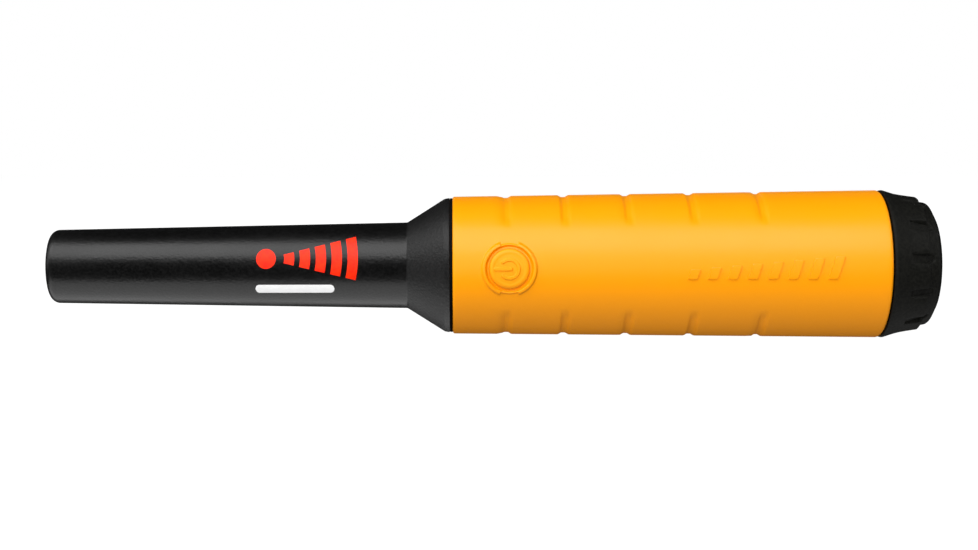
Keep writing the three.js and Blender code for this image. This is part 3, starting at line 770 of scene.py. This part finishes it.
class PINPOINTER_OT_print(bpy.types.Operator):
    """Add the printed signal arcs and the plain bar on the probe"""

    bl_idname = "pinpointer.print"
    bl_label = "Printed Signal Arcs"
    ink_height, ink_foot = 0.025, -0.08
    dot_centre, dot_radius = (59.0, 2.4), 2.6
    arc_starts, arc_width, arc_half = (4.8, 9.0, 13.2, 17.4, 21.6), 2.7, math.radians(13.5)
    bar_x, bar_z, bar_half_long, bar_half_wide = 66.5, -5.6, 10.5, 1.1

    def onto_probe(self, bm, size):
        """Wraps flat faces, drawn in x and z, round the front of the probe as a thin layer."""
        bmesh.ops.remove_doubles(bm, verts=bm.verts, dist=1e-4)
        raised = bmesh.ops.extrude_face_region(bm, geom=list(bm.faces))
        tops = {item for item in raised["geom"] if isinstance(item, bmesh.types.BMVert)}
        for vert in bm.verts:
            height = self.ink_height if vert in tops else self.ink_foot
            radius = probe_radius(vert.co.x, size) + height
            vert.co.y = -math.sqrt(radius**2 - vert.co.z**2)

    def arc(self, bm, inner, outer, start, end):
        """A flat sector of a ring about the dot's centre."""
        x, z = self.dot_centre
        radii = [inner + (outer - inner) * i / 4 for i in range(5)]
        places = [(x + r * math.cos(start), 0, z + r * math.sin(start)) for r in radii]
        verts = [bm.verts.new(place) for place in places]
        edges = [bm.edges.new(pair) for pair in zip(verts, verts[1:])]
        bmesh.ops.spin(
            bm, geom=verts + edges, cent=(x, 0, z), axis=(0, -1, 0), dvec=(0, 0, 0),
            angle=end - start, steps=36, use_merge=False, use_normal_flip=False,
            use_duplicate=False)

    def execute(self, context):
        size = context.scene.pinpointer_probe
        arcs = bmesh.new()
        for inner in self.arc_starts:
            self.arc(arcs, inner, inner + self.arc_width, -self.arc_half, self.arc_half)
        self.arc(arcs, 0.0, self.dot_radius, 0.0, math.tau)
        self.onto_probe(arcs, size)
        red = ink("Signal Red Ink", (0.94, 0.012, 0.0), (0.98, 0.03, 0.0))
        piece(arcs, "signal_arcs_print", "body", [], red)
        bar = bmesh.new()
        bmesh.ops.create_grid(bar, x_segments=84, y_segments=6, size=0.5)
        half_long, half_wide = self.bar_half_long, self.bar_half_wide
        for vert in bar.verts:
            along = vert.co.x * 2 * half_long
            past = max(0.0, abs(along) - half_long + half_wide) / half_wide
            across = vert.co.y * 2 * half_wide * math.sqrt(max(0.0, 1 - past**2))
            vert.co = Vector((self.bar_x + along, 0, self.bar_z + across))
        self.onto_probe(bar, size)
        white = ink("White Ink", (0.94, 0.94, 0.94), (0.98, 0.98, 0.98))
        piece(bar, "plain_bar_print", "body", [], white)
        return {"FINISHED"}


class PINPOINTER_OT_inner_parts(bpy.types.Operator):
    """Give the pieces inside the housing their own materials"""

    bl_idname = "pinpointer.inner_parts"
    bl_label = "Inner Parts"
    metals = ("brushed_steel", "brass", "aluminium")

    def execute(self, context):
        slots = {row["slot"]: row for row in frame["record"]["materials"]}
        node_slots = {row["node"]: row["material_slot"] for row in frame["record"]["subparts"]}
        made = {}
        for name, node in frame["nodes"].items():
            if node.hide_render:
                continue
            slot = node_slots[name]
            if slot not in made:
                made[slot] = self.slot_material(slots[slot])
            for material_slot in node.material_slots:
                material_slot.material = made[slot]
        return {"FINISHED"}

    def slot_material(self, row):
        """A metal or a plastic in the colour of a row of the record's materials."""
        title = "Inner " + row["slot"].replace("_", " ").title()
        metal = row["class"] in self.metals
        return moulded_plastic(
            title, row["base_color"][:3], grain_scale=3000.0, pits=0.3, edge_shade=1.3,
            roughness=0.3 if metal or row["finish"] == "gloss" else 0.55,
            grain_depth=0.006 if metal else 0.015, smudge_shade=0.85 if metal else 1.15,
            metallic=1.0 if metal else 0.0)


# ------------------------------------------------------------------ stage, in metres
WHITE = (1, 1, 1, 1)


def facing(place, target):
    """A matrix that stands at a place and looks at a target."""
    turn = (target - place).to_track_quat("-Z", "Y").to_matrix().to_4x4()
    return Matrix.Translation(place) @ turn


class PINPOINTER_OT_stage(bpy.types.Operator):
    """Set up the pale floor, the soft lights and the camera"""

    bl_idname = "pinpointer.stage"
    bl_label = "Stage"
    axis_mark = 109.9  # millimetres from the tip to the point that the camera looks at
    shift = (0.03104, -0.01014)
    sky_below, sky_above = 0.06, 0.02
    # name, place, width, depth, share of the key light's power, and whether gloss shows it
    lights = (
        ("Key Softbox", (-0.35, -0.755, 0.95), 2.4, 1.0, 1.0, True),
        ("Front Fill", (-0.5, -1.6, 0.2), 2.0, 1.0, 0.96, False),
        ("Back Softbox", (0.2, 1.4, 0.5), 2.0, 0.6, 0.7, False),
        ("Table Bounce", (0, -0.05, -0.6), 2.4, 1.2, 0.19, False),
        ("End Softbox", (1.3, -0.1, 0.5), 0.9, 0.9, 0.15, True),
        ("Tip Softbox", (-1.3, -0.1, 0.5), 0.9, 0.9, 0.1, True),
    )
    sheen_place = (0, -0.05, -0.62)
    sheens = (("Probe", 0.56), ("Cap", 0.26))

    def execute(self, context):
        self.add_camera(context)
        self.add_floor(context)
        self.add_world(context)
        self.add_lights(context)
        context.scene.view_settings.view_transform = "Standard"
        return {"FINISHED"}

    def add_camera(self, context):
        size = context.scene.pinpointer_stage
        camera = bpy.data.cameras.new("Main Camera")
        camera.lens, camera.sensor_width = size.lens, 36
        camera.shift_x, camera.shift_y = self.shift
        camera.clip_start, camera.clip_end = 0.01, 50
        made = bpy.data.objects.new("Main Camera", camera)
        aim = Vector((TIP_X + self.axis_mark * MM, 0, AXIS_Z))
        back = Vector((0, -math.cos(size.elevation), math.sin(size.elevation)))
        roll = Matrix.Rotation(-size.roll, 4, "Z")
        made.matrix_world = facing(aim + back * size.distance, aim) @ roll
        context.scene.collection.objects.link(made)
        context.scene.camera = made

    def add_floor(self, context):
        """A large floor under the probe, close to white, that lights nothing and takes no shadow."""
        bm = bmesh.new()
        bmesh.ops.create_grid(bm, x_segments=2, y_segments=2, size=6)
        mesh = bpy.data.meshes.new("floor")
        bm.to_mesh(mesh)
        bm.free()
        material = bpy.data.materials.new("Pale Floor")
        material.use_nodes = True
        s = Shading(material.node_tree)
        matt = s.node("BsdfDiffuse", (0.1, 0.1, 0.1, 1))
        glow = s.node("Emission", WHITE, 1.0)
        both = s.node("AddShader", matt.outputs[0], glow.outputs[0])
        s.feed(s.node("OutputMaterial").inputs["Surface"], both.outputs[0])
        mesh.materials.append(material)
        floor = bpy.data.objects.new("floor", mesh)
        context.scene.collection.objects.link(floor)
        floor.visible_diffuse = floor.visible_glossy = floor.visible_shadow = False

    def add_world(self, context):
        """White behind the object, and a dim sky, brighter below, for everything else."""
        world = bpy.data.worlds.new("Studio")
        world.use_nodes = True
        context.scene.world = world
        s = Shading(world.node_tree)
        direction = s.node("TexCoord").outputs["Generated"]
        up = s.node("SeparateXYZ", direction).outputs["Z"]
        sky = s.remap(up, -0.7, 0.1, self.sky_below, self.sky_above)
        seen = s.node("Background", WHITE, 1.0)
        lighting = s.node("Background", WHITE, sky)
        is_camera = s.node("LightPath").outputs["Is Camera Ray"]
        mixed = s.node("MixShader", is_camera, lighting.outputs[0], seen.outputs[0])
        s.feed(s.node("OutputWorld").inputs["Surface"], mixed.outputs[0])

    def add_light(self, context, name, place, width, depth, power):
        """A soft rectangular light that faces the middle of the probe."""
        light = bpy.data.lights.new(name, "AREA")
        light.shape = "RECTANGLE"
        light.size, light.size_y = width, depth
        light.energy = power
        made = bpy.data.objects.new(name, light)
        made.matrix_world = facing(Vector(place), Vector((0, 0, AXIS_Z)))
        context.scene.collection.objects.link(made)
        return made

    def add_lights(self, context):
        power = context.scene.pinpointer_stage.key_power
        for name, place, width, depth, share, in_gloss in self.lights:
            light = self.add_light(context, name, place, width, depth, power * share)
            light.visible_glossy = in_gloss
        for word, share in self.sheens:
            self.add_sheen(context, word, power * share)

    def add_sheen(self, context, word, power):
        """A light from below, shown only by the gloss of pieces whose material starts with a word."""
        sheen = self.add_light(context, word + " Sheen", self.sheen_place, 2.4, 1.2, power)
        sheen.visible_diffuse = False
        shown = bpy.data.collections.new(word + " Plastics")
        for part in bpy.data.objects:
            materials = part.data.materials if part.type == "MESH" else []
            if materials and materials[0].name.startswith(word):
                shown.objects.link(part)
        sheen.light_linking.receiver_collection = shown


class PINPOINTER_PT_sidebar(bpy.types.Panel):
    bl_label = "Pinpointer Probe"
    bl_idname = "PINPOINTER_PT_sidebar"
    bl_space_type = "VIEW_3D"
    bl_region_type = "UI"
    bl_category = "Pinpointer"

    def draw(self, context):
        for operator in OPERATORS:
            self.layout.operator(operator.bl_idname)
        for name in SETTINGS:
            settings = getattr(context.scene, name)
            box = self.layout.box()
            for prop in settings.bl_rna.properties:
                if prop.identifier not in {"rna_type", "name"}:
                    box.prop(settings, prop.identifier)


SETTINGS = {
    "pinpointer_probe": ProbeSettings,
    "pinpointer_grip": GripSettings,
    "pinpointer_button": ButtonSettings,
    "pinpointer_cap": CapSettings,
    "pinpointer_stage": StageSettings,
}
OPERATORS = (
    PINPOINTER_OT_probe_housing,
    PINPOINTER_OT_grip_shell,
    PINPOINTER_OT_power_button,
    PINPOINTER_OT_end_cap,
    PINPOINTER_OT_print,
    PINPOINTER_OT_inner_parts,
    PINPOINTER_OT_stage,
)


def register():
    for name, settings in SETTINGS.items():
        bpy.utils.register_class(settings)
        setattr(bpy.types.Scene, name, PointerProperty(type=settings))
    for operator in OPERATORS:
        bpy.utils.register_class(operator)
    bpy.utils.register_class(PINPOINTER_PT_sidebar)


def unregister():
    bpy.utils.unregister_class(PINPOINTER_PT_sidebar)
    for operator in reversed(OPERATORS):
        bpy.utils.unregister_class(operator)
    for name, settings in reversed(SETTINGS.items()):
        delattr(bpy.types.Scene, name)
        bpy.utils.unregister_class(settings)


def main():
    register()
    for operator in OPERATORS:
        group, name = operator.bl_idname.split(".")
        getattr(getattr(bpy.ops, group), name)()
    bpy.context.view_layer.update()


if __name__ == "__main__":
    main()
